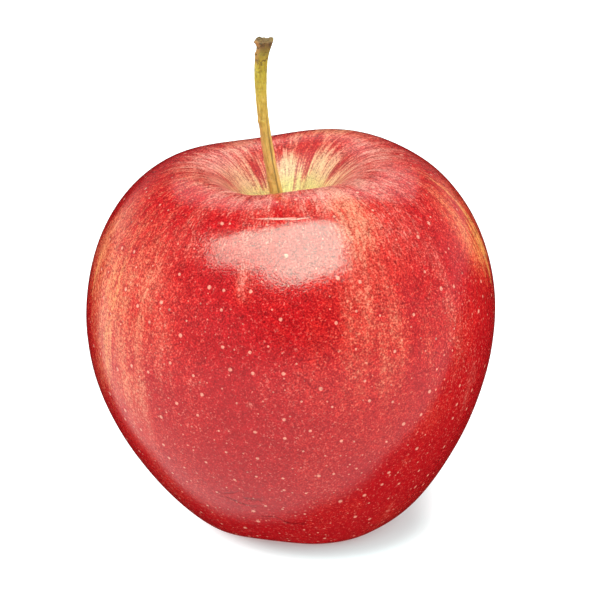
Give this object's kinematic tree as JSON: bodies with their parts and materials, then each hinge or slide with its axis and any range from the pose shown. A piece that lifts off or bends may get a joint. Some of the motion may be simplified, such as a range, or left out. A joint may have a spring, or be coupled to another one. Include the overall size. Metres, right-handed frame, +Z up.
{
  "type": "apple",
  "caption": "Fresh red apple on its foot lobes, with a long curved stalk in a deep bowl and dried sepals and stamens in the basin below.",
  "frame": {"origin": "on the surface that the apple stands on, under the middle of the fruit's outline", "axes": "+Z up, from the flower end to the stalk end; +X towards the higher shoulder, so the stalk leans towards -X; -Y is the front"},
  "size_m": [0.0764, 0.0756, 0.0922],
  "materials": {
    "skin": "gloss",
    "stalk": "matte",
    "dried_flower": "matte"
  },
  "bodies": {
    "root": {"fruit": "skin", "stalk": "stalk", "sepal_1": "dried_flower", "sepal_2": "dried_flower", "sepal_3": "dried_flower", "sepal_4": "dried_flower", "sepal_5": "dried_flower", "stamens": "dried_flower"}
  },
  "joints": []
}
